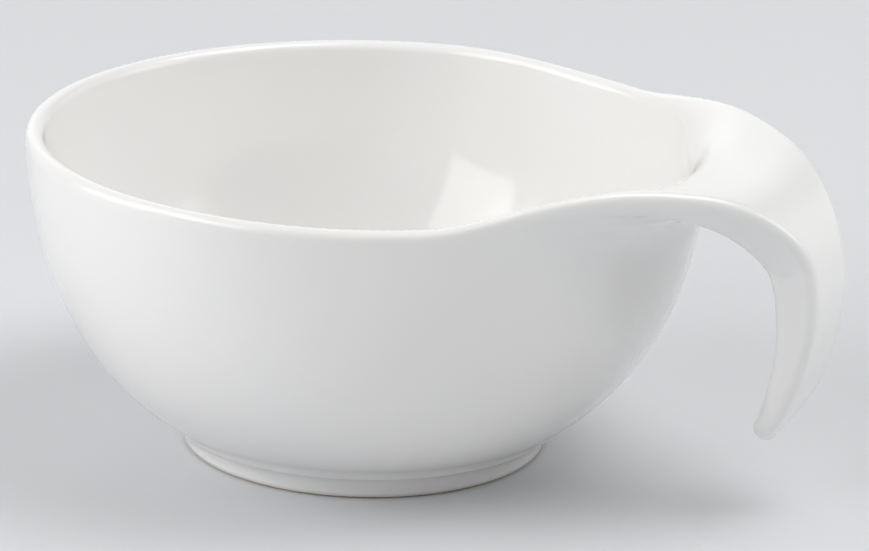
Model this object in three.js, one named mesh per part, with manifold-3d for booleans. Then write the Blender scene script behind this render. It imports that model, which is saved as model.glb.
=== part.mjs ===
import * as THREE from 'three';
import { mergeVertices } from 'three/addons/utils/BufferGeometryUtils.js';
import Module from 'manifold-3d';

// A white porcelain bowl whose rim runs out into one curled handle. Millimetres and degrees, +Z up.
// Handle and foot ring are stuck to the bowl with a thin layer of clay slip, and all of it is fired as one.
// Angles around the bowl are measured from the handle, which points along +X.

// Bowl: outside of the wall, from the lip down to the foot ring
const RIM_RADIUS = 60;
const RIM_HEIGHT = 56.8;
const WALL = 3.2;
const WALL_LEAN = 3;
const RIM_PULL = 20;
const FOOT_SLOPE = 60;
const FOOT_PULL = 20.5;
const WALL_FOOT_RADIUS = 34.7;
const FLOOR = 4;
const FLOOR_ROUND = 20;

// Rim: it rises to the handle, where its inner edge is rounded, and dips and draws in on either side
const HANDLE_LIFT = 4.8;
const RISE_START = 31;
const RIM_DIP = 0.7;
const RIM_NARROWING = 1.5;
const DIP_ANGLE = 68;
const DIP_SPREAD = 33;
const RIM_SHAPE_DEPTH = 26;
const LIP_BLEND_ANGLE = 15;
const LIP_SQUARENESS = 0.7;
const ROOT_ROUND = 8;
const ROOT_ROUND_FULL_ANGLE = 18;
const ROOT_ROUND_END_ANGLE = 46;
const ROOT_ROUND_CLEARANCE = 0.05;

// Foot ring
const FOOT_HEIGHT = 5;
const FOOT_STEP = 1.6;
const FOOT_TAPER = 0.9;
const FOOT_WIDTH = 3.6;
const FOOT_DRAFT = 1.2;
const FOOT_ROUND = 0.8;

// Handle: arcs of its top line past the crown, its half-width and its thickness
const SHOULDER_RADIUS = 50;
const SHOULDER_SWEEP = 12;
const BEND_RADIUS = 21.5;
const TAIL_RADIUS = 45.5;
const TAIL_SWEEP = 38.5;
const ROOT_ANGLE = 47;
const ROOT_PULL = 5;
const STRAP_START = 33.5;
const STRAP_PULL = 7;
const STRAP_WIDTH = 17.5;
const TIP_LENGTH = 15;
const TIP_END_ROUND = 3;
const ROOT_THICKNESS = 4.5;
const BEND_THICKNESS = 8.4;
const THICKEST_SHARE = 0.68;
const TAIL_THICKNESS = 4.2;
const EDGE_ROUND = 2;
const ROOT_EDGE = 0.5;

// Shallow channel across the handle's root, by length from the crown
const DISH = 2.6;
const DISH_START = -16;
const DISH_FULL_FROM = -2;
const DISH_FULL_TO = 6;
const DISH_END = 26;

// Slip joints
const SLIP = 0.5;
const JOINT_GAP = 0.3;

// Facets
const SEGMENTS = 72;
const FLOOR_ROUND_STEPS = 5;
const INNER_WALL_STEPS = 9;
const LIP_STEPS = 6;
const ROOT_ROUND_STEPS = 6;
const OUTER_WALL_STEPS = 12;
const ROUND_STEPS = 3;
const DISH_STEPS = 6;
const ROOT_STEPS = 5;
const SHOULDER_STEPS = 4;
const BEND_STEPS = 9;
const TAIL_STEPS = 10;
const TIP_SHARE = 0.97;
const ROUND_LIMIT = 0.98;
const SEARCH_STEPS = 60;

const HANDLE_OFFSET = SLIP + 2 * JOINT_GAP;
const CROWN_X = RIM_RADIUS - WALL / 2;
const CROWN_Z = RIM_HEIGHT + HANDLE_LIFT;
const LIP_BASE = RIM_HEIGHT - WALL / 2;
const FLOOR_Z = FOOT_HEIGHT + FLOOR;
const CUTTER_TOP = CROWN_Z + HANDLE_LIFT;

const radians = THREE.MathUtils.degToRad;
const smoothstep = THREE.MathUtils.smoothstep;
const lerp = THREE.MathUtils.lerp;
const pair = (x, y) => new THREE.Vector2(x, y);

const wasm = await Module();
wasm.setup();

// Wall outline, as radius and height, from the lip's outer edge down to the foot
function makeWallLine() {
  const lean = radians(WALL_LEAN);
  const slope = radians(FOOT_SLOPE);
  const rim = pair(RIM_RADIUS, LIP_BASE);
  const foot = pair(WALL_FOOT_RADIUS, FOOT_HEIGHT);
  const rimHandle = pair(rim.x - RIM_PULL * Math.sin(lean), rim.y - RIM_PULL * Math.cos(lean));
  const footHandle = pair(foot.x + FOOT_PULL * Math.sin(slope), foot.y + FOOT_PULL * Math.cos(slope));
  return new THREE.CubicBezierCurve(rim, rimHandle, footHandle, foot);
}

const WALL_LINE = makeWallLine();

// Point of the wall outline moved out of the wall by the given offset
function wallPoint(u, offset) {
  const along = WALL_LINE.getTangent(u);
  const point = WALL_LINE.getPoint(u);
  return pair(point.x - along.y * offset, point.y + along.x * offset);
}

// Place on the outline where the round between wall and floor touches the inside of the wall
function findFloorRound() {
  let low = 0;
  let high = 1;
  for (let i = 0; i < SEARCH_STEPS; i += 1) {
    const middle = (low + high) / 2;
    const above = wallPoint(middle, -WALL - FLOOR_ROUND).y > FLOOR_Z + FLOOR_ROUND;
    low = above ? middle : low;
    high = above ? high : middle;
  }
  return low;
}

// Rise of the handle's top line above the plain rim, at a distance along the handle from the bowl's axis
function riseAlong(x) {
  return HANDLE_LIFT * smoothstep(x, RISE_START, CROWN_X);
}

// How strongly the rim dips and draws in at an angle from the handle
function sideShare(angle) {
  const off = Math.abs(Math.abs(angle) - radians(DIP_ANGLE)) / radians(DIP_SPREAD);
  return Math.cos((Math.PI / 2) * Math.min(off, 1)) ** 2;
}

// How far the lip has turned into the handle's root at an angle from the handle
function rootShare(angle) {
  return 1 - smoothstep(Math.abs(angle), radians(ROOT_ANGLE - LIP_BLEND_ANGLE), radians(ROOT_ANGLE));
}

// Turns a point of the plain outline to its place at an angle, with the shape of the rim there
function shapedPoint(point, angle) {
  const share = smoothstep(point.y, LIP_BASE - RIM_SHAPE_DEPTH, LIP_BASE);
  const side = sideShare(angle);
  const radius = point.x - share * RIM_NARROWING * side;
  const x = radius * Math.cos(angle);
  const y = radius * Math.sin(angle);
  const lift = riseAlong(RIM_RADIUS * Math.cos(angle)) - RIM_DIP * side - dishDepth(x - CROWN_X, y);
  return new THREE.Vector3(x, y, point.y + share * lift);
}

// Half-round lip from the inside of the wall over to its outside, squared off outwards at the handle's root
function lipPoints(angle) {
  const inside = wallPoint(0, -WALL);
  const outside = wallPoint(0, 0);
  const middle = inside.clone().add(outside).divideScalar(2);
  const across = outside.clone().sub(middle);
  const up = pair(-across.y, across.x);
  const points = [];
  for (let i = 1; i < LIP_STEPS; i += 1) {
    const turn = Math.PI * (1 - i / LIP_STEPS);
    const power = turn < Math.PI / 2 ? 1 - LIP_SQUARENESS * rootShare(angle) : 1;
    const side = Math.sign(Math.cos(turn)) * Math.abs(Math.cos(turn)) ** power;
    const lift = Math.sin(turn) ** power;
    points.push(middle.clone().addScaledVector(across, side).addScaledVector(up, lift));
  }
  return points;
}

// Outline of the bowl at an angle, without its two ends on the axis
function shellOutline(angle) {
  const touch = findFloorRound();
  const centre = wallPoint(touch, -WALL - FLOOR_ROUND);
  const edge = wallPoint(touch, -WALL).sub(centre);
  const last = Math.atan2(edge.x, -edge.y);
  const points = [];
  for (let i = 0; i < FLOOR_ROUND_STEPS; i += 1) {
    const turn = (last * i) / FLOOR_ROUND_STEPS;
    points.push(pair(centre.x + FLOOR_ROUND * Math.sin(turn), centre.y - FLOOR_ROUND * Math.cos(turn)));
  }
  for (let i = 0; i <= INNER_WALL_STEPS; i += 1) {
    points.push(wallPoint(touch * (1 - i / INNER_WALL_STEPS), -WALL));
  }
  points.push(...lipPoints(angle));
  for (let i = 0; i <= OUTER_WALL_STEPS; i += 1) {
    points.push(wallPoint(i / OUTER_WALL_STEPS, 0));
  }
  return points;
}

// Filled body of the bowl's outside, moved out by an offset and carried up past the rim, to cut with
function cutterOutline(offset) {
  const top = wallPoint(0, offset);
  const points = [pair(top.x, CUTTER_TOP)];
  for (let i = 0; i <= OUTER_WALL_STEPS; i += 1) {
    points.push(wallPoint(i / OUTER_WALL_STEPS, offset));
  }
  return points;
}

// Space over the round that leads from the inside of the wall out to the handle's top, at an angle
function rootRoundOutline(angle) {
  const lean = radians(WALL_LEAN);
  const away = smoothstep(Math.abs(angle), radians(ROOT_ROUND_FULL_ANGLE), radians(ROOT_ROUND_END_ANGLE));
  const round = lerp(ROOT_ROUND, WALL / 2, away);
  const inside = wallPoint(0, -WALL);
  const centreZ = RIM_HEIGHT - round;
  const wallX = inside.x - (inside.y - centreZ) * Math.tan(lean);
  const centreX = wallX + round / Math.cos(lean) - ROOT_ROUND_CLEARANCE;
  const points = [pair(centreX, CUTTER_TOP)];
  for (let i = 0; i <= ROOT_ROUND_STEPS; i += 1) {
    const turn = ((Math.PI / 2 - lean) * i) / ROOT_ROUND_STEPS;
    points.push(pair(centreX - round * Math.sin(turn), centreZ + round * Math.cos(turn)));
  }
  return points;
}

function meshGeometry(positions, triangles) {
  const geometry = new THREE.BufferGeometry();
  geometry.setAttribute('position', new THREE.Float32BufferAttribute(positions, 3));
  geometry.setIndex(triangles);
  return geometry;
}

// Closed body round the Z axis: an outline for each angle, from a point on the axis above to one below
function turnedBody(outlineAt, topZ, bottomZ) {
  const positions = [0, 0, topZ, 0, 0, bottomZ];
  const triangles = [];
  const rows = [];
  for (let j = 0; j < SEGMENTS; j += 1) {
    const angle = (2 * Math.PI * (j <= SEGMENTS / 2 ? j : j - SEGMENTS)) / SEGMENTS;
    const row = [];
    for (const point of outlineAt(angle)) {
      row.push(positions.length / 3);
      positions.push(...shapedPoint(point, angle).toArray());
    }
    rows.push(row);
  }
  rows.forEach((row, j) => {
    const next = rows[(j + 1) % SEGMENTS];
    const end = row.length - 1;
    triangles.push(0, row[0], next[0], 1, next[end], row[end]);
    for (let i = 0; i < end; i += 1) {
      triangles.push(row[i], row[i + 1], next[i + 1], row[i], next[i + 1], next[i]);
    }
  });
  return meshGeometry(positions, triangles);
}

// Handle's half-width along its top line: it leaves the rim tangentially and narrows to an even strap
function makeEdgeLine() {
  const angle = radians(ROOT_ANGLE);
  const start = pair(RIM_RADIUS * Math.cos(angle) - CROWN_X, RIM_RADIUS * Math.sin(angle));
  const leave = pair(start.x + ROOT_PULL * Math.sin(angle), start.y - ROOT_PULL * Math.cos(angle));
  const strap = pair(STRAP_START, STRAP_WIDTH / 2);
  const arrive = pair(STRAP_START - STRAP_PULL, STRAP_WIDTH / 2);
  return new THREE.CubicBezierCurve(start, leave, arrive, strap);
}

const EDGE_LINE = makeEdgeLine();

// Place on the edge line where a test turns from true to false
function searchEdge(test) {
  let low = 0;
  let high = 1;
  for (let i = 0; i < SEARCH_STEPS; i += 1) {
    const middle = (low + high) / 2;
    const before = test(EDGE_LINE.getPoint(middle));
    low = before ? middle : low;
    high = before ? high : middle;
  }
  return EDGE_LINE.getPoint(low);
}

// Top line of the handle: stations with place, tilt of the face and length from the crown
function handleTopLine() {
  const clear = RIM_RADIUS + HANDLE_OFFSET + ROOT_EDGE;
  const first = searchEdge((point) => Math.hypot(point.x + CROWN_X, point.y) < clear).x;
  const stations = [];
  for (let i = 0; i <= ROOT_STEPS; i += 1) {
    const length = first * (1 - i / ROOT_STEPS);
    const x = CROWN_X + length;
    stations.push({ x, z: RIM_HEIGHT + riseAlong(x), tilt: 0, length });
  }
  const arcs = [
    { radius: SHOULDER_RADIUS, sweep: radians(SHOULDER_SWEEP), steps: SHOULDER_STEPS },
    { radius: BEND_RADIUS, sweep: radians(90 - SHOULDER_SWEEP), steps: BEND_STEPS },
    { radius: TAIL_RADIUS, sweep: radians(TAIL_SWEEP), steps: TAIL_STEPS },
  ];
  for (const { radius, sweep, steps } of arcs) {
    const from = stations[stations.length - 1];
    const centreX = from.x - radius * Math.sin(from.tilt);
    const centreZ = from.z - radius * Math.cos(from.tilt);
    for (let i = 1; i <= steps; i += 1) {
      const turned = (sweep * i) / steps;
      const tilt = from.tilt + turned;
      const x = centreX + radius * Math.sin(tilt);
      const z = centreZ + radius * Math.cos(tilt);
      stations.push({ x, z, tilt, length: from.length + radius * turned });
    }
  }
  return stations;
}

const SHOULDER_LENGTH = SHOULDER_RADIUS * radians(SHOULDER_SWEEP);
const BEND_LENGTH = BEND_RADIUS * radians(90 - SHOULDER_SWEEP);
const THICKEST_LENGTH = SHOULDER_LENGTH + BEND_LENGTH * THICKEST_SHARE;
const BEND_END = SHOULDER_LENGTH + BEND_LENGTH;
const HANDLE_LENGTH = BEND_END + TAIL_RADIUS * radians(TAIL_SWEEP);

// Quarter-ellipse share that closes an end of the given length
function endShare(length, end) {
  const into = THREE.MathUtils.clamp(1 - (HANDLE_LENGTH - length) / end, 0, TIP_SHARE);
  return Math.sqrt(1 - into * into);
}

function halfWidth(length) {
  const strap = length >= STRAP_START;
  const plain = strap ? STRAP_WIDTH / 2 : searchEdge((point) => point.x < length).y;
  return plain * endShare(length, TIP_LENGTH);
}

// Depth of the channel across the handle's root at a length from the crown and a distance to the side
function dishDepth(length, side) {
  const start = smoothstep(length, DISH_START, DISH_FULL_FROM);
  const end = 1 - smoothstep(length, DISH_FULL_TO, DISH_END);
  const across = 1 - (side / halfWidth(length)) ** 2;
  return DISH * start * end * Math.max(across, 0);
}

function plainThickness(length) {
  const bend = lerp(ROOT_THICKNESS, BEND_THICKNESS, smoothstep(length, 0, THICKEST_LENGTH));
  const thin = smoothstep(length, THICKEST_LENGTH, HANDLE_LENGTH);
  return lerp(bend, TAIL_THICKNESS, thin);
}

// Rounded-rectangle section of the handle at a station, with top and bottom bent down to the channel
function handleSection({ x, z, tilt, length }) {
  const plain = plainThickness(length);
  const thick = plain * endShare(length, TIP_END_ROUND);
  const half = halfWidth(length);
  const round = Math.min(EDGE_ROUND, ROUND_LIMIT * Math.min(thick / 2, half));
  const middle = -plain / 2;
  const corners = [
    [half - round, middle + thick / 2 - round],
    [round - half, middle + thick / 2 - round],
    [round - half, middle - thick / 2 + round],
    [half - round, middle - thick / 2 + round],
  ];
  const points = [];
  const place = (side, height) => {
    const level = height - dishDepth(length, side);
    points.push(new THREE.Vector3(x + level * Math.sin(tilt), side, z + level * Math.cos(tilt)));
  };
  corners.forEach(([y, height], corner) => {
    for (let i = 0; i <= ROUND_STEPS; i += 1) {
      const turn = (Math.PI / 2) * (corner + i / ROUND_STEPS);
      place(y + round * Math.cos(turn), height + round * Math.sin(turn));
    }
    const steps = corner % 2 === 0 ? DISH_STEPS : 1;
    const face = height + round * Math.cos((Math.PI / 2) * corner);
    for (let i = 1; i < steps; i += 1) {
      place(y * (1 - (2 * i) / steps), face);
    }
  });
  return points;
}

// Whole tongue, running on inside the bowl until it is cut
function tongueGeometry() {
  const sections = handleTopLine().map(handleSection);
  const count = sections[0].length;
  const positions = sections.flat().flatMap((point) => point.toArray());
  const triangles = [];
  for (let k = 0; k + 1 < sections.length; k += 1) {
    for (let i = 0; i < count; i += 1) {
      const a = k * count + i;
      const b = k * count + ((i + 1) % count);
      triangles.push(a, b, b + count, a, b + count, a + count);
    }
  }
  const tip = (sections.length - 1) * count;
  for (let i = 1; i + 1 < count; i += 1) {
    triangles.push(0, i + 1, i, tip, tip + i, tip + i + 1);
  }
  return meshGeometry(positions, triangles);
}

function solid(geometry) {
  const merged = mergeVertices(geometry);
  const vertProperties = new Float32Array(merged.attributes.position.array);
  const triVerts = new Uint32Array(merged.index.array);
  return new wasm.Manifold(new wasm.Mesh({ numProp: 3, vertProperties, triVerts }));
}

function solidGeometry(body) {
  const { vertProperties, triVerts } = body.getMesh();
  return meshGeometry(vertProperties, Array.from(triVerts));
}

// Foot ring and its slip layer share the ring's inner and outer radius at the top
const FOOT_TOP_RADIUS = WALL_FOOT_RADIUS - FOOT_STEP;
const FOOT_INNER_RADIUS = FOOT_TOP_RADIUS - FOOT_TAPER - FOOT_WIDTH - FOOT_DRAFT;
const FOOT_TOP = FOOT_HEIGHT - SLIP;

function footOutline() {
  const outer = FOOT_TOP_RADIUS - FOOT_TAPER;
  const inner = outer - FOOT_WIDTH;
  const points = [pair(FOOT_TOP_RADIUS, FOOT_TOP), pair(FOOT_INNER_RADIUS, FOOT_TOP)];
  for (let i = 0; i <= ROUND_STEPS; i += 1) {
    const turn = ((Math.PI / 2) * i) / ROUND_STEPS;
    points.push(pair(inner + FOOT_ROUND * (1 - Math.cos(turn)), FOOT_ROUND * (1 - Math.sin(turn))));
  }
  for (let i = 0; i <= ROUND_STEPS; i += 1) {
    const turn = ((Math.PI / 2) * i) / ROUND_STEPS;
    points.push(pair(outer - FOOT_ROUND * (1 - Math.sin(turn)), FOOT_ROUND * (1 - Math.cos(turn))));
  }
  return points;
}

function footSlipOutline() {
  return [
    pair(FOOT_TOP_RADIUS, FOOT_HEIGHT),
    pair(FOOT_INNER_RADIUS, FOOT_HEIGHT),
    pair(FOOT_INNER_RADIUS, FOOT_TOP),
    pair(FOOT_TOP_RADIUS, FOOT_TOP),
  ];
}

// Closed ring round the Z axis from a closed outline
function ringGeometry(outline) {
  const ring = new THREE.LatheGeometry([...outline, outline[0].clone()], SEGMENTS);
  ring.rotateX(Math.PI / 2);
  ring.deleteAttribute('normal');
  ring.deleteAttribute('uv');
  return mergeVertices(ring);
}

const tongue = solid(tongueGeometry());
const cutter = (offset) => solid(turnedBody(() => cutterOutline(offset), CUTTER_TOP, FOOT_HEIGHT));
const overRoot = solid(turnedBody(rootRoundOutline, CUTTER_TOP, RIM_HEIGHT - ROOT_ROUND));
const shell = solid(turnedBody(shellOutline, FLOOR_Z, FOOT_HEIGHT)).subtract(overRoot);
const handle = tongue.subtract(cutter(HANDLE_OFFSET)).subtract(overRoot);
const handleSlip = tongue.intersect(cutter(JOINT_GAP + SLIP)).subtract(cutter(JOINT_GAP)).subtract(overRoot);

const glaze = { color: 0xf2f0ec, roughness: 0.12, metalness: 0 };
const slipClay = { color: 0xe8e2d8, roughness: 0.8, metalness: 0 };

function piece(name, geometry, look) {
  geometry.computeVertexNormals();
  const mesh = new THREE.Mesh(geometry, new THREE.MeshStandardMaterial(look));
  mesh.name = name;
  return mesh;
}

// The frame's origin lies on the table, in the middle of the part's length
const HANDLE_REACH = CROWN_X + SHOULDER_RADIUS * Math.sin(radians(SHOULDER_SWEEP))
  + BEND_RADIUS * (1 - Math.sin(radians(SHOULDER_SWEEP)));

const bowl = new THREE.Group();
bowl.add(piece('bowl_shell', solidGeometry(shell), glaze));
bowl.add(piece('foot_ring', ringGeometry(footOutline()), glaze));
bowl.add(piece('foot_slip_joint', ringGeometry(footSlipOutline()), slipClay));
bowl.add(piece('handle', solidGeometry(handle), glaze));
bowl.add(piece('handle_slip_joint', solidGeometry(handleSlip), slipClay));
bowl.position.x = (RIM_RADIUS - HANDLE_REACH) / 2;

const part = new THREE.Group();
part.add(bowl);

export default part;
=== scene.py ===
"""Looks of a white porcelain bowl whose rim runs out into one curled handle.

The fired, glazed body has no visible joint, so its skin is made as one field of signed distances,
negative inside the clay, and is then cut at the two slip joints into the pieces of the CAD part.
The field works in millimetres about the bowl's own axis, with the handle along +X and +Z up.
Angles are degrees, and angles around the bowl are measured from the handle.
A pair of values says where a change starts and where it ends."""
import math
from functools import partial

import bpy
import numpy as np
import openvdb
from mathutils import Matrix, Vector


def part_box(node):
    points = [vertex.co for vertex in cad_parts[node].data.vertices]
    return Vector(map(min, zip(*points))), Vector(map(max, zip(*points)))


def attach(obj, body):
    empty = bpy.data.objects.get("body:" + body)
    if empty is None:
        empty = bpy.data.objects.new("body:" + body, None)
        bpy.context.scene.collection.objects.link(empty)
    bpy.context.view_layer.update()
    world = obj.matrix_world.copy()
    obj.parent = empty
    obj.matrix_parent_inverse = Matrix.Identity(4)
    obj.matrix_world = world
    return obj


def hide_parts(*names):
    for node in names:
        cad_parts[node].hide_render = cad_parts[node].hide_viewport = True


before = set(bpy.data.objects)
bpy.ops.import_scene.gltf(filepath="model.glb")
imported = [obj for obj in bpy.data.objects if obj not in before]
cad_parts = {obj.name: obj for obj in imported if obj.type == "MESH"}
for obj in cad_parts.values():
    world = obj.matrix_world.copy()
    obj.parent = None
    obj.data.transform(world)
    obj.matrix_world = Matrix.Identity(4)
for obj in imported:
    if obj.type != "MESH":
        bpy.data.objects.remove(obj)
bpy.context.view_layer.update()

MM = 0.001
foot_low, foot_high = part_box("foot_ring")
AXIS_X = (foot_low.x + foot_high.x) / 2

# Bowl wall
RIM_RADIUS = 60.0
RIM_HEIGHT = 56.8
WALL = 3.2
WALL_LEAN = 3.0
RIM_PULL = 20.0
FOOT_SLOPE = 60.0
FOOT_PULL = 20.5
WALL_FOOT_RADIUS = 34.7
FLOOR = 4.0
FLOOR_ROUND = 20.0

# Rim: its rise to the handle, and the dip and narrowing on either side
HANDLE_LIFT = 4.8
RISE_START = 31.0
RIM_DIP = 0.7
RIM_NARROWING = 1.5
DIP_ANGLE = 68.0
DIP_SPREAD = 33.0
RIM_SHAPE_DEPTH = 26.0

# Foot ring
FOOT_HEIGHT = 5.0
FOOT_STEP = 1.6
FOOT_TAPER = 0.9
FOOT_WIDTH = 3.6
FOOT_DRAFT = 1.2
FOOT_ROUND = 0.8

# Handle
SHOULDER_RADIUS = 50.0
SHOULDER_SWEEP = 12.0
BEND_RADIUS = 21.5
TAIL_RADIUS = 45.5
TAIL_SWEEP = 38.5
ROOT_ANGLE = 47.0
ROOT_PULL = 5.0
STRAP_START = 33.5
STRAP_PULL = 7.0
STRAP_WIDTH = 17.5
TIP_LENGTH = 15.0
ROOT_THICKNESS = 4.5
BEND_THICKNESS = 8.4
THICKEST_SHARE = 0.68
TAIL_THICKNESS = 4.2
DISH = 2.6
DISH_START = (-16.0, -2.0)
DISH_END = (6.0, 26.0)

# Slip joints
SLIP = 0.5
JOINT_GAP = 0.3
JOINT_ANGLES = (26.0, 42.0)
JOINT_DEPTH = 9.2

# Roundings and fillets of the glazed skin
LIP_ROUND = WALL / 2
ROOT_ROUND = 10.5
ROOT_POWER = 2.5
ROOT_ROUND_ANGLES = (18.0, 46.0)
ROOT_SINK = 0.8
EDGE_ROUND = 2.1
EDGE_ANGLES = (26.0, 46.0)
HANDLE_FILLET = 12.0
FILLET_DEPTH = (1.5, 7.0)
FILLET_ANGLES = (20.0, 47.0)
FOOT_FILLET = 4.6

# Fineness
VOXEL = 0.65
COARSE_VOXELS = 4
MARGIN_VOXELS = 3
TABLE_STEP = 0.25
TABLE_EDGE_CELLS = 2.001
CURVE_STEPS = 160
ARC_STEPS = 12
RELAX_ROUNDS = 4
FIRST_SETTLE_ROUNDS = 2
SETTLE_ROUNDS = 4
SETTLE_REACH = 0.1
NORMAL_REACH = 0.3
BEND_REACH = 0.9
JOINT_SNAP = 0.06
LEAST_FILLET = 1e-6

CROWN_X = RIM_RADIUS - WALL / 2
CROWN_Z = RIM_HEIGHT + HANDLE_LIFT
LIP_BASE = RIM_HEIGHT - WALL / 2
FLOOR_Z = FOOT_HEIGHT + FLOOR
ABOVE_RIM = 20.0
SHOULDER_LENGTH = SHOULDER_RADIUS * math.radians(SHOULDER_SWEEP)
BEND_LENGTH = BEND_RADIUS * math.radians(90 - SHOULDER_SWEEP)
THICKEST_LENGTH = SHOULDER_LENGTH + BEND_LENGTH * THICKEST_SHARE
BEND_END = SHOULDER_LENGTH + BEND_LENGTH
HANDLE_LENGTH = BEND_END + TAIL_RADIUS * math.radians(TAIL_SWEEP)


def smoothstep(value, low, high):
    share = np.clip((value - low) / (high - low), 0, 1)
    return share * share * (3 - 2 * share)


def bezier(points, steps):
    """Points of a cubic curve and its unit direction at each."""
    p = np.array(points, float)
    t = np.linspace(0, 1, steps + 1)[:, None]
    s = 1 - t
    places = s**3 * p[0] + 3 * s**2 * t * p[1] + 3 * s * t**2 * p[2] + t**3 * p[3]
    along = s**2 * (p[1] - p[0]) + 2 * s * t * (p[2] - p[1]) + t**2 * (p[3] - p[2])
    return places, along / np.linalg.norm(along, axis=1, keepdims=True)


def arc(centre, radius, first, last, steps):
    """Points of a circle, with angles from straight down towards +r."""
    turns = np.radians(np.linspace(first, last, steps + 1))
    return np.stack([centre[0] + radius * np.sin(turns), centre[1] - radius * np.cos(turns)], 1)


def outline_distance(outline, a, b):
    """Signed distance to a closed flat outline, negative inside."""
    nearest = np.full(a.shape, np.inf)
    inside = np.zeros(a.shape, bool)
    for (a0, b0), (a1, b1) in zip(outline, np.roll(outline, -1, axis=0)):
        da = a1 - a0
        db = b1 - b0
        share = np.clip(((a - a0) * da + (b - b0) * db) / (da * da + db * db), 0, 1)
        nearest = np.minimum(nearest, (a - a0 - share * da) ** 2 + (b - b0 - share * db) ** 2)
        if db != 0:
            inside ^= ((b0 > b) != (b1 > b)) & (a < a0 + (b - b0) * da / db)
    return np.where(inside, -1, 1) * np.sqrt(nearest)


def smooth_union(a, b, width):
    """The nearer of two distances, with a fillet of about that width where they meet."""
    width = np.maximum(width, LEAST_FILLET)
    near = np.maximum(width - np.abs(a - b), 0) / width
    return np.minimum(a, b) - near * near * width / 4


def round_cut(a, b, radius, power=2.0):
    """What lies inside both, with the edge between them rounded: power 2 is a circle, more is softer."""
    corner = np.maximum(a + radius, 0) ** power + np.maximum(b + radius, 0) ** power
    return np.minimum(np.maximum(a, b), -radius) + corner ** (1 / power)


class Table:
    """Distances worked out on a fine flat grid and read back by cubic interpolation."""

    def __init__(self, low, high, distance):
        self.low = low
        axes = [np.arange(low[k], high[k] + TABLE_STEP, TABLE_STEP) for k in (0, 1)]
        self.values = distance(*np.meshgrid(*axes, indexing="ij"))

    def taps(self, value, k):
        place = (value - self.low[k]) / TABLE_STEP
        place = np.clip(place, 1, self.values.shape[k] - TABLE_EDGE_CELLS)
        cell = place.astype(int)
        t = place - cell
        weights = (
            ((2 - t) * t - 1) * t / 2,
            ((3 * t - 5) * t * t + 2) / 2,
            ((4 - 3 * t) * t + 1) * t / 2,
            (t - 1) * t * t / 2,
        )
        return cell, weights

    def read(self, a, b):
        cell_a, weights_a = self.taps(a, 0)
        cell_b, weights_b = self.taps(b, 1)
        total = np.zeros(np.shape(a))
        for i, weight_a in enumerate(weights_a):
            for j, weight_b in enumerate(weights_b):
                total += weight_a * weight_b * self.values[cell_a + i - 1, cell_b + j - 1]
        return total


def both_sides(right):
    """Closed outline from its right half, which runs from the top down to the axis."""
    return np.concatenate([right, (right * (-1, 1))[::-1]])


# Flat outlines of the bowl, as radius and height

def wall_line():
    lean = math.radians(WALL_LEAN)
    slope = math.radians(FOOT_SLOPE)
    rim = np.array([RIM_RADIUS, LIP_BASE])
    foot = np.array([WALL_FOOT_RADIUS, FOOT_HEIGHT])
    rim_handle = rim - RIM_PULL * np.array([math.sin(lean), math.cos(lean)])
    foot_handle = foot + FOOT_PULL * np.array([math.sin(slope), math.cos(slope)])
    return bezier([rim, rim_handle, foot_handle, foot], CURVE_STEPS)


def outside_outline():
    places, along = wall_line()
    above = places[0] - ABOVE_RIM * along[0]
    return both_sides(np.concatenate([[above], places]))


def hollow_outline():
    places, along = wall_line()
    inwards = np.stack([along[:, 1], -along[:, 0]], 1)
    inside = places + WALL * inwards
    centres = places + (WALL + FLOOR_ROUND) * inwards
    wall = inside[centres[:, 1] > FLOOR_Z + FLOOR_ROUND]
    centre = centres[len(wall) - 1]
    edge = wall[-1] - centre
    turn = math.degrees(math.atan2(edge[0], -edge[1]))
    floor_round = arc((centre[0], FLOOR_Z + FLOOR_ROUND), FLOOR_ROUND, turn, 0, ARC_STEPS * 4)
    above = wall[0] - ABOVE_RIM * along[0]
    return both_sides(np.concatenate([[above], wall[:-1], floor_round]))


def foot_outline():
    top = FOOT_HEIGHT + WALL / 2
    outer_top = WALL_FOOT_RADIUS - FOOT_STEP
    outer = outer_top - FOOT_TAPER
    inner = outer - FOOT_WIDTH
    outer_round = arc((outer - FOOT_ROUND, FOOT_ROUND), FOOT_ROUND, 0, 90, ARC_STEPS)
    inner_round = arc((inner + FOOT_ROUND, FOOT_ROUND), FOOT_ROUND, -90, 0, ARC_STEPS)
    inner_top = inner - FOOT_DRAFT
    outer_end = [[outer_top, FOOT_HEIGHT], [outer_top, top]]
    inner_end = [[inner_top, top], [inner_top, FOOT_HEIGHT]]
    return np.concatenate([inner_round, outer_round, outer_end, inner_end])


def turned_body(r, z):
    """Outside of the bowl with its foot ring."""
    wall = outline_distance(outside_outline(), r, z)
    foot = outline_distance(foot_outline(), r, z)
    return smooth_union(wall, foot, FOOT_FILLET)


# Handle seen flat: length along its top line from the crown, and half-width

def handle_edge():
    """Edge of the handle from the rim out to where the strap runs straight."""
    angle = math.radians(ROOT_ANGLE)
    radius = RIM_RADIUS - ROOT_SINK
    start = np.array([radius * math.cos(angle) - CROWN_X, radius * math.sin(angle)])
    leave = start + ROOT_PULL * np.array([math.sin(angle), -math.cos(angle)])
    strap = (STRAP_START, STRAP_WIDTH / 2)
    arrive = (STRAP_START - STRAP_PULL, STRAP_WIDTH / 2)
    edge, _ = bezier([start, leave, arrive, strap], CURVE_STEPS)
    return edge


HANDLE_EDGE = handle_edge()


def handle_outline():
    half = STRAP_WIDTH / 2
    turns = np.radians(np.linspace(0, 90, 4 * ARC_STEPS + 1))
    tip = np.stack([HANDLE_LENGTH - TIP_LENGTH * (1 - np.sin(turns)), half * np.cos(turns)], 1)
    upper = np.concatenate([[[-CROWN_X, 0]], HANDLE_EDGE, tip])
    return np.concatenate([upper, (upper * (1, -1))[-2:0:-1]])


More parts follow.
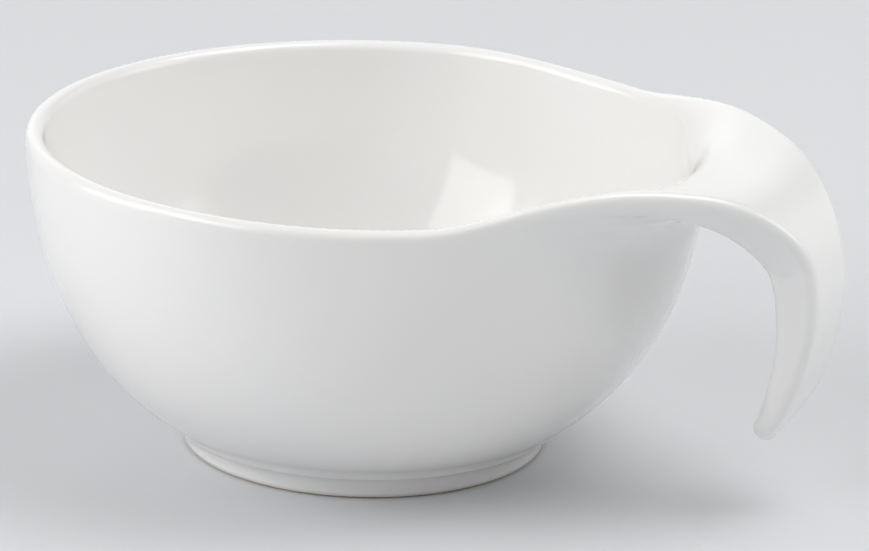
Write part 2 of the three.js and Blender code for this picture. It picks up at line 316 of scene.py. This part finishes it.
def handle_thickness(length):
    grow = smoothstep(length, 0, THICKEST_LENGTH)
    thin = smoothstep(length, THICKEST_LENGTH, HANDLE_LENGTH)
    to_bend = ROOT_THICKNESS + (BEND_THICKNESS - ROOT_THICKNESS) * grow
    return to_bend + (TAIL_THICKNESS - to_bend) * thin


def rise_along(x):
    return HANDLE_LIFT * smoothstep(x, RISE_START, CROWN_X)


def dish_along(length, y):
    """How far the handle's root is hollowed across, as a shallow channel out of the bowl."""
    half = np.interp(length, HANDLE_EDGE[:, 0], HANDLE_EDGE[:, 1])
    along = smoothstep(length, *DISH_START) * (1 - smoothstep(length, *DISH_END))
    return DISH * along * np.maximum(1 - (y / half) ** 2, 0)


def side_share(angle):
    """How strongly the rim dips and draws in at an angle around the bowl."""
    off = np.abs(np.abs(angle) - math.radians(DIP_ANGLE)) / math.radians(DIP_SPREAD)
    return np.cos(np.pi / 2 * np.minimum(off, 1)) ** 2


def top_line(x, z):
    """Length along the handle's top line, and height above it, in the handle's upright plane."""
    length = x - CROWN_X
    height = z - RIM_HEIGHT - rise_along(x)
    radii = (SHOULDER_RADIUS, BEND_RADIUS, TAIL_RADIUS)
    starts = np.radians((0, SHOULDER_SWEEP, 90))
    before = (0, SHOULDER_LENGTH, BEND_END)
    centre = np.array([CROWN_X, CROWN_Z])
    last = 0
    past = x > CROWN_X
    for radius, start, done in zip(radii, starts, before):
        centre = centre + (last - radius) * np.array([math.sin(start), math.cos(start)])
        last = radius
        turn = np.arctan2(x - centre[0], z - centre[1])
        turn = np.where(turn < -np.pi / 2, turn + 2 * np.pi, turn)
        past = past & (turn > start)
        length = np.where(past, done + radius * (turn - start), length)
        height = np.where(past, np.hypot(x - centre[0], z - centre[1]) - radius, height)
    return length, height


# Reach of the tables: radius and height for the bowl, length and half-width for the handle
BOWL_LOW = (0, -6)
BOWL_HIGH = (90, RIM_HEIGHT + ABOVE_RIM)
HANDLE_LOW = (-125, 0)
HANDLE_HIGH = (125, 66)

BODY = Table(BOWL_LOW, BOWL_HIGH, turned_body)
OUTSIDE = Table(BOWL_LOW, BOWL_HIGH, partial(outline_distance, outside_outline()))
HOLLOW = Table(BOWL_LOW, BOWL_HIGH, partial(outline_distance, hollow_outline()))
HANDLE = Table(HANDLE_LOW, HANDLE_HIGH, partial(outline_distance, handle_outline()))


def plain_place(x, y, z):
    """Radius and height of a point once the rim's rise, dip and narrowing are taken out of it."""
    angle = np.arctan2(y, x)
    side = side_share(angle)
    lift = rise_along(RIM_RADIUS * np.cos(angle)) - RIM_DIP * side - dish_along(x - CROWN_X, y)
    height = z
    for _ in range(SETTLE_ROUNDS):
        share = smoothstep(height, LIP_BASE - RIM_SHAPE_DEPTH, LIP_BASE)
        height = z - share * lift
    return np.hypot(x, y) + share * RIM_NARROWING * side, height, angle, side


def handle_place(x, y, z, side):
    """Length along the handle's top face, and height above it, with the rim's dip and the channel."""
    length, above = top_line(x, z)
    return length, above + RIM_DIP * side + dish_along(length, y)


def field(points):
    """Signed distance to the glazed skin."""
    x, y, z = points.T
    radius, height, angle, side = plain_place(x, y, z)
    length, above = handle_place(x, y, z, side)
    off = np.degrees(np.abs(angle))
    under = -above - handle_thickness(length)
    strap = round_cut(HANDLE.read(length, np.abs(y)), under, EDGE_ROUND)
    fillet = HANDLE_FILLET * (1 - smoothstep(off, *FILLET_ANGLES)) * smoothstep(-above, *FILLET_DEPTH)
    outer_round = EDGE_ROUND + (LIP_ROUND - EDGE_ROUND) * smoothstep(off, *EDGE_ANGLES)
    lip_share = smoothstep(off, *ROOT_ROUND_ANGLES)
    inner_round = ROOT_ROUND + (LIP_ROUND - ROOT_ROUND) * lip_share
    inner_power = ROOT_POWER + (2 - ROOT_POWER) * lip_share
    solid = smooth_union(BODY.read(radius, height), strap, fillet)
    outer = round_cut(solid, above, outer_round)
    inner = round_cut(above, -HOLLOW.read(radius, height), inner_round, inner_power)
    return np.maximum(outer, inner)


def slopes(points, reach):
    """Slope of the field at each point, and the bend of the skin there."""
    slope = np.empty_like(points)
    bend = -6 * field(points)
    for k in range(3):
        step = np.zeros(3)
        step[k] = reach
        ahead = field(points + step)
        behind = field(points - step)
        slope[:, k] = (ahead - behind) / (2 * reach)
        bend += ahead + behind
    return slope, bend / reach**2


def settle(points, rounds):
    """Moves points onto the skin."""
    for _ in range(rounds):
        slope, _ = slopes(points, SETTLE_REACH)
        points = points - (field(points) / (slope**2).sum(1))[:, None] * slope
    return points


def skin_mesh():
    """Points and four-sided faces of the whole skin."""
    margin = MARGIN_VOXELS * VOXEL
    low = np.array([-RIM_RADIUS, -RIM_RADIUS, 0]) - margin
    high = np.array([CROWN_X + BEND_RADIUS + SHOULDER_RADIUS, RIM_RADIUS, CROWN_Z]) + margin
    block = VOXEL * COARSE_VOXELS
    counts = np.ceil((high - low) / block).astype(int)
    far = 2 * block

    def places(number, step):
        first = low + (step - VOXEL) / 2
        axes = [first[k] + step * np.arange(number[k]) for k in range(3)]
        return np.stack(np.meshgrid(*axes, indexing="ij"), -1)

    blocks = places(counts, block)
    rough = field(blocks.reshape(-1, 3)).reshape(counts)
    for k in range(3):
        rough = np.repeat(rough, COARSE_VOXELS, axis=k)
    near = np.abs(rough) < far
    fine = places(counts * COARSE_VOXELS, VOXEL)
    values = np.sign(rough) * far
    values[near] = field(fine[near])
    volume = openvdb.FloatGrid(far)
    volume.copyFromArray(values.astype(np.float32))
    points, quads = volume.convertToQuads(0.0)
    return low + points.astype(float) * VOXEL, quads.astype(int)


def relax(points, quads):
    """Evens out the faces along the skin."""
    edges = np.concatenate([np.stack([quads[:, k], quads[:, (k + 1) % 4]], 1) for k in range(4)])
    count = np.bincount(edges.ravel(), minlength=len(points))
    for _ in range(RELAX_ROUNDS):
        mean = np.empty_like(points)
        for k in range(3):
            total = np.bincount(edges[:, 0], points[edges[:, 1], k], len(points))
            total += np.bincount(edges[:, 1], points[edges[:, 0], k], len(points))
            mean[:, k] = total / count
        points = settle((points + mean) / 2, 1)
    return points


def cut(points, faces, level):
    """Cuts faces along the line where the level of their points is zero. Gives both sides' faces."""
    points = list(points)
    level = np.where(np.abs(level) < JOINT_SNAP, 0, level)
    middle = {}
    sides = {1: [], -1: []}

    def between(a, b):
        key = (min(a, b), max(a, b))
        if key not in middle:
            share = level[a] / (level[a] - level[b])
            middle[key] = len(points)
            points.append(points[a] + share * (points[b] - points[a]))
        return middle[key]

    for face in faces:
        signs = [level[i] for i in face]
        if min(signs) >= 0 or max(signs) <= 0:
            sides[1 if max(signs) > 0 else -1].append(list(face))
            continue
        halves = {1: [], -1: []}
        for a, b in zip(face, list(face[1:]) + [face[0]]):
            for side in halves:
                if level[a] * side >= 0:
                    halves[side].append(a)
            if level[a] * level[b] < 0:
                new = between(a, b)
                halves[1].append(new)
                halves[-1].append(new)
        for side, half in halves.items():
            sides[side].append(half)
    return np.array(points), sides[1], sides[-1]


def open_loops(faces):
    """Loops of points round the open edges of some faces, in the faces' own direction."""
    used = {}
    for face in faces:
        for a, b in zip(face, list(face[1:]) + [face[0]]):
            used[(a, b)] = used.get((a, b), 0) + 1
    following = {a: b for (a, b) in used if (b, a) not in used}
    loops = []
    while following:
        first, place = next(iter(following.items()))
        del following[first]
        loop = [first]
        while place != first:
            loop.append(place)
            place = following.pop(place)
        loops.append(loop)
    return loops


def ladder(points, first, second):
    """Narrow triangles between two rows of points that both run round the bowl in the same direction."""
    angles = [np.unwrap(np.arctan2(points[row, 1], points[row, 0])) for row in (first, second)]
    faces = []
    i = 0
    j = 0
    while i + 1 < len(first) or j + 1 < len(second):
        ahead = j + 1 == len(second) or (i + 1 < len(first) and angles[0][i + 1] < angles[1][j + 1])
        faces.append([first[i], first[i + 1] if ahead else second[j + 1], second[j]])
        i += ahead
        j += not ahead
    return [face for face in faces if len(set(face)) == 3]


def turn_against(faces, loops):
    """The faces with the direction that closes a skin along the skin's own open loops."""
    edges = {(a, b) for loop in loops for a, b in zip(loop, loop[1:] + loop[:1])}
    same = sum((a, b) in edges for face in faces for a, b in zip(face, face[1:] + face[:1]))
    return [face[::-1] for face in faces] if same else faces


def handle_cap_faces(points, handle):
    """Root face of the handle, from one end of its joint line to the other."""
    (loop,) = open_loops(handle)
    angles = np.arctan2(points[loop, 1], points[loop, 0])
    loop = loop[angles.argmin():] + loop[:angles.argmin()]
    last = np.arctan2(points[loop, 1], points[loop, 0]).argmax()
    return turn_against(ladder(points, loop[:last + 1], [loop[0]] + loop[:last - 1:-1]), [loop])


def foot_cap_faces(points, foot):
    """Upper face of the foot ring, between its outer and its inner joint line."""
    loops = open_loops(foot)
    rows = []
    for loop in loops:
        angles = np.arctan2(points[loop, 1], points[loop, 0])
        row = np.array(loop)[np.argsort(angles)].tolist()
        rows.append(row + row[:1])
    return turn_against(ladder(points, *rows), loops)


def make_piece(name, points, skin, caps, nodes, material):
    """Closed mesh of one piece: skin faces with the field's own normals, and flat caps at the joints."""
    faces = skin + caps
    used = np.unique(np.concatenate([np.array(face) for face in faces]))
    number = np.zeros(len(points), int)
    number[used] = np.arange(len(used))
    places = points[used]
    slope, _ = slopes(places, NORMAL_REACH)
    slope /= np.linalg.norm(slope, axis=1, keepdims=True)
    _, bend = slopes(places, BEND_REACH)
    mesh = bpy.data.meshes.new(name)
    mesh.from_pydata((places * MM + (AXIS_X, 0, 0)).tolist(), [], [number[face].tolist() for face in faces])
    mesh.shade_smooth()
    mesh.attributes.new("skin_bend", "FLOAT", "POINT").data.foreach_set("value", bend.astype(np.float32))
    mesh.materials.append(material)
    normals = [slope[number[i]] for face in skin for i in face]
    for polygon in mesh.polygons[len(skin):]:
        normals.extend([polygon.normal] * polygon.loop_total)
    mesh.normals_split_custom_set(normals)
    piece = bpy.data.objects.new(name, mesh)
    bpy.context.scene.collection.objects.link(piece)
    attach(piece, "root")
    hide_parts(*nodes)
    return piece


def handle_level(points):
    """Positive beyond the middle of the handle's slip joint and above the foot of its fillet."""
    x, y, z = points.T
    radius, height, angle, side = plain_place(x, y, z)
    _, above = handle_place(x, y, z, side)
    off = np.degrees(np.abs(angle))
    level = OUTSIDE.read(radius, height) - JOINT_GAP - SLIP / 2 - smoothstep(off, *JOINT_ANGLES) * WALL
    return np.where(z > FLOOR_Z, np.minimum(level, JOINT_DEPTH + above), -1)


def foot_level(points):
    """Positive below the middle of the foot's slip joint."""
    return FOOT_HEIGHT - SLIP / 2 - points[:, 2]


# Materials

def add(tree, kind, values=None, **settings):
    """New shader node with settings, and plain values or links for its sockets by name or number."""
    made = tree.nodes.new(kind)
    for key, value in settings.items():
        setattr(made, key, value)
    for key, value in (values or {}).items():
        if isinstance(value, bpy.types.NodeSocket):
            tree.links.new(value, made.inputs[key])
        else:
            made.inputs[key].default_value = value
    return made


def noise(tree, place, scale, detail):
    made = add(tree, "ShaderNodeTexNoise", {"Vector": place, "Scale": scale, "Detail": detail})
    return made.outputs["Fac"]


def ramp(tree, value, low, high, first=0.0, last=1.0):
    """Value carried smoothly from one range to another."""
    values = {"Value": value, "From Min": low, "From Max": high, "To Min": first, "To Max": last}
    made = add(tree, "ShaderNodeMapRange", values, interpolation_type="SMOOTHSTEP")
    return made.outputs["Result"]


# Sockets of the mix node that belong to colours
MIX_SHARE = 0
MIX_FIRST = 6
MIX_SECOND = 7
MIX_RESULT = 2


def mix(tree, share, first, second):
    """Colour between two, by a share."""
    values = {MIX_SHARE: share, MIX_FIRST: first, MIX_SECOND: second}
    made = add(tree, "ShaderNodeMix", values, data_type="RGBA")
    return made.outputs[MIX_RESULT]


BODY_WHITE = (0.893, 0.889, 0.882, 1)
BODY_WARM = (0.897, 0.888, 0.872, 1)
POOLED_GLAZE = (0.862, 0.866, 0.866, 1)
THIN_GLAZE = (0.903, 0.898, 0.886, 1)
BARE_CLAY = (0.74, 0.71, 0.66, 1)
BARE_EDGE = (0.70, 0.64, 0.55, 1)
BARE_EDGE_SHARE = 0.5

# Heights in metres up to which the foot is bare, and bends of the skin where glaze pools or thins
BARE_HEIGHTS = (0.0005, 0.0001)
BARE_EDGE_HEIGHTS = (0.0011, 0.0005)
POOLED_BENDS = (-0.08, -0.3)
THIN_BENDS = (0.2, 0.7)

# Patterns: scale per metre and detail of each noise, the range of it in use, and depths in metres
CLOUD = (26, 3)
CLOUD_RANGE = (0.35, 0.65)
RIPPLE = (95, 2)
RIPPLE_STRENGTH = 0.05
RIPPLE_DEPTH = 0.0006
GRAIN = (2600, 4)
GRAIN_RANGE = (0.3, 0.7)
GRAIN_STRENGTH = 0.5
GRAIN_DEPTH = 0.0002

# Gloss
BODY_ROUGHNESS = 0.33
BARE_ROUGHNESS = 0.8
BODY_SPECULAR = 0.25
GLAZE_ROUGHNESS = 0.06
GLAZE_IOR = 1.5


def porcelain():
    """White porcelain under a clear gloss glaze, with the ring that it stands on left bare."""
    material = bpy.data.materials.new("glazed_porcelain")
    material.use_nodes = True
    tree = material.node_tree
    shader = tree.nodes["Principled BSDF"]
    place = add(tree, "ShaderNodeTexCoord").outputs["Object"]
    height = add(tree, "ShaderNodeSeparateXYZ", {"Vector": place}).outputs["Z"]
    bend = add(tree, "ShaderNodeAttribute", attribute_name="skin_bend").outputs["Fac"]
    cloud = ramp(tree, noise(tree, place, *CLOUD), *CLOUD_RANGE)
    ripple = noise(tree, place, *RIPPLE)
    grain = noise(tree, place, *GRAIN)
    bare = ramp(tree, height, *BARE_HEIGHTS)
    bare_edge = ramp(tree, height, *BARE_EDGE_HEIGHTS)
    glazed = mix(tree, cloud, BODY_WHITE, BODY_WARM)
    glazed = mix(tree, ramp(tree, bend, *POOLED_BENDS), glazed, POOLED_GLAZE)
    glazed = mix(tree, ramp(tree, bend, *THIN_BENDS), glazed, THIN_GLAZE)
    clay = mix(tree, ramp(tree, grain, *GRAIN_RANGE), BARE_CLAY, BARE_EDGE)
    colour = mix(tree, ramp(tree, bare_edge, 0, 1, 0, BARE_EDGE_SHARE), glazed, BARE_EDGE)
    tree.links.new(mix(tree, bare, colour, clay), shader.inputs["Base Color"])
    roughness = ramp(tree, bare, 0, 1, BODY_ROUGHNESS, BARE_ROUGHNESS)
    tree.links.new(roughness, shader.inputs["Roughness"])
    tree.links.new(ramp(tree, bare, 0, 1, 1.0, 0.0), shader.inputs["Coat Weight"])
    shader.inputs["Coat Roughness"].default_value = GLAZE_ROUGHNESS
    shader.inputs["Coat IOR"].default_value = GLAZE_IOR
    shader.inputs["Specular IOR Level"].default_value = BODY_SPECULAR
    wave_values = {"Height": ripple, "Strength": RIPPLE_STRENGTH, "Distance": RIPPLE_DEPTH}
    waves = add(tree, "ShaderNodeBump", wave_values)
    pore_values = {"Height": grain, "Distance": GRAIN_DEPTH, "Normal": waves.outputs["Normal"]}
    pore_values["Strength"] = ramp(tree, bare, 0, 1, 0.0, GRAIN_STRENGTH)
    pores = add(tree, "ShaderNodeBump", pore_values)
    tree.links.new(pores.outputs["Normal"], shader.inputs["Normal"])
    tree.links.new(waves.outputs["Normal"], shader.inputs["Coat Normal"])
    return material


# Stage, in metres

BOWL_MIDDLE = 0.03
FLOOR_HALF = 3.0
FLOOR_DROP = 0.0001
FLOOR_COLOUR = (0.70, 0.71, 0.73, 1)
FLOOR_ROUGHNESS = 0.6
ROOM_COLOUR = (0.28, 0.28, 0.28, 1)

# Camera at the photograph's viewing angle
CAMERA_TURN = 23.0
CAMERA_RISE = 18.1
CAMERA_ROLL = 1.5
CAMERA_DISTANCE = 0.8
CAMERA_NEAR = 0.01
AIM_HEIGHT = 0.0301
AIM_RIGHT = 0.01186
FOCAL_PIXELS = 4540
PHOTO_WIDTH_PIXELS = 869
SENSOR_WIDTH_MM = 36


def softbox(name, turn, rise, distance, size, power, soft_edge):
    """Square lamp that faces the bowl, placed by its angle from the camera and its angle above the table.
    Its light fades out over a share of its width along every edge."""
    way = math.radians(turn + CAMERA_TURN)
    level = math.cos(math.radians(rise))
    towards = Vector((math.sin(way) * level, -math.cos(way) * level, math.sin(math.radians(rise))))
    light = bpy.data.lights.new(name, "AREA")
    light.size = size
    light.energy = power
    light.use_nodes = True
    tree = light.node_tree
    place = add(tree, "ShaderNodeNewGeometry").outputs["Parametric"]
    place = add(tree, "ShaderNodeSeparateXYZ", {"Vector": place})
    shares = []
    for side in "XY":
        inwards = add(tree, "ShaderNodeMath", {0: place.outputs[side], 1: 0.5}, operation="PINGPONG")
        shares.append(ramp(tree, inwards.outputs[0], 0, soft_edge))
    glow = add(tree, "ShaderNodeMath", {0: shares[0], 1: shares[1]}, operation="MULTIPLY")
    tree.links.new(glow.outputs[0], tree.nodes["Emission"].inputs["Strength"])
    made = bpy.data.objects.new(name, light)
    made.location = Vector((0, 0, BOWL_MIDDLE)) + towards * distance
    made.rotation_euler = towards.to_track_quat("Z", "Y").to_euler()
    bpy.context.scene.collection.objects.link(made)


def floor():
    half = FLOOR_HALF
    mesh = bpy.data.meshes.new("floor")
    corners = [(-half, -half, 0), (half, -half, 0), (half, half, 0), (-half, half, 0)]
    mesh.from_pydata(corners, [], [(0, 1, 2, 3)])
    material = bpy.data.materials.new("floor")
    material.use_nodes = True
    shader = material.node_tree.nodes["Principled BSDF"]
    shader.inputs["Base Color"].default_value = FLOOR_COLOUR
    shader.inputs["Roughness"].default_value = FLOOR_ROUGHNESS
    mesh.materials.append(material)
    made = bpy.data.objects.new("floor", mesh)
    made.location.z = -FLOOR_DROP
    bpy.context.scene.collection.objects.link(made)


def camera():
    turn = math.radians(CAMERA_TURN)
    elevation = math.radians(CAMERA_RISE)
    roll = math.radians(CAMERA_ROLL)
    across = math.sin(turn)
    along = math.cos(turn)
    level = math.cos(elevation)
    right = Vector((along, across, 0))
    back = Vector((across * level, -along * level, math.sin(elevation)))
    up = back.cross(right)
    aim = Vector((AXIS_X, 0, AIM_HEIGHT)) + right * AIM_RIGHT
    side = right * math.cos(roll) + up * math.sin(roll)
    top = up * math.cos(roll) - right * math.sin(roll)
    data = bpy.data.cameras.new("camera")
    data.sensor_width = SENSOR_WIDTH_MM
    data.lens = FOCAL_PIXELS / PHOTO_WIDTH_PIXELS * SENSOR_WIDTH_MM
    data.clip_start = CAMERA_NEAR
    made = bpy.data.objects.new("camera", data)
    made.matrix_world = Matrix((side, top, back)).transposed().to_4x4()
    made.location = aim + back * CAMERA_DISTANCE
    bpy.context.scene.collection.objects.link(made)
    bpy.context.scene.camera = made


def build():
    points, quads = skin_mesh()
    points = relax(settle(points, FIRST_SETTLE_ROUNDS), quads)
    points, handle, rest = cut(points, quads.tolist(), handle_level(points))
    points, foot, bowl = cut(points, rest, foot_level(points))
    points = settle(points, SETTLE_ROUNDS)
    glaze = porcelain()
    handle_cap = handle_cap_faces(points, handle)
    foot_cap = foot_cap_faces(points, foot)
    other_side = [face[::-1] for face in handle_cap + foot_cap]
    make_piece("bowl_shell_glazed", points, bowl, other_side, ["bowl_shell"], glaze)
    make_piece("handle_glazed", points, handle, handle_cap, ["handle", "handle_slip_joint"], glaze)
    make_piece("foot_ring_glazed", points, foot, foot_cap, ["foot_ring", "foot_slip_joint"], glaze)


build()
floor()
camera()
softbox("left", turn=-90, rise=15, distance=1.1, size=0.9, power=6.0, soft_edge=0.4)
softbox("left_wide", turn=-75, rise=38, distance=1.5, size=1.6, power=17.5, soft_edge=0.4)
softbox("front_left", turn=-47, rise=28, distance=1.1, size=0.6, power=2.8, soft_edge=0.1)
softbox("front_low", turn=-20, rise=5, distance=1.3, size=1.2, power=1.5, soft_edge=0.4)
softbox("right", turn=90, rise=20, distance=1.1, size=0.9, power=6.0, soft_edge=0.4)
softbox("right_high", turn=90, rise=65, distance=1.2, size=1.2, power=18.5, soft_edge=0.4)
softbox("back", turn=180, rise=42, distance=1.4, size=1.6, power=2.8, soft_edge=0.4)
softbox("back_low", turn=180, rise=6, distance=1.4, size=2.0, power=7.5, soft_edge=0.4)
softbox("back_left", turn=-145, rise=12, distance=1.3, size=1.6, power=3.2, soft_edge=0.4)
softbox("back_right", turn=130, rise=8, distance=1.3, size=1.2, power=2.6, soft_edge=0.4)

scene = bpy.context.scene
scene.view_settings.view_transform = "Standard"
world = bpy.data.worlds.new("studio")
scene.world = world
world.use_nodes = True
world.node_tree.nodes["Background"].inputs["Color"].default_value = ROOM_COLOUR

bpy.context.view_layer.update()
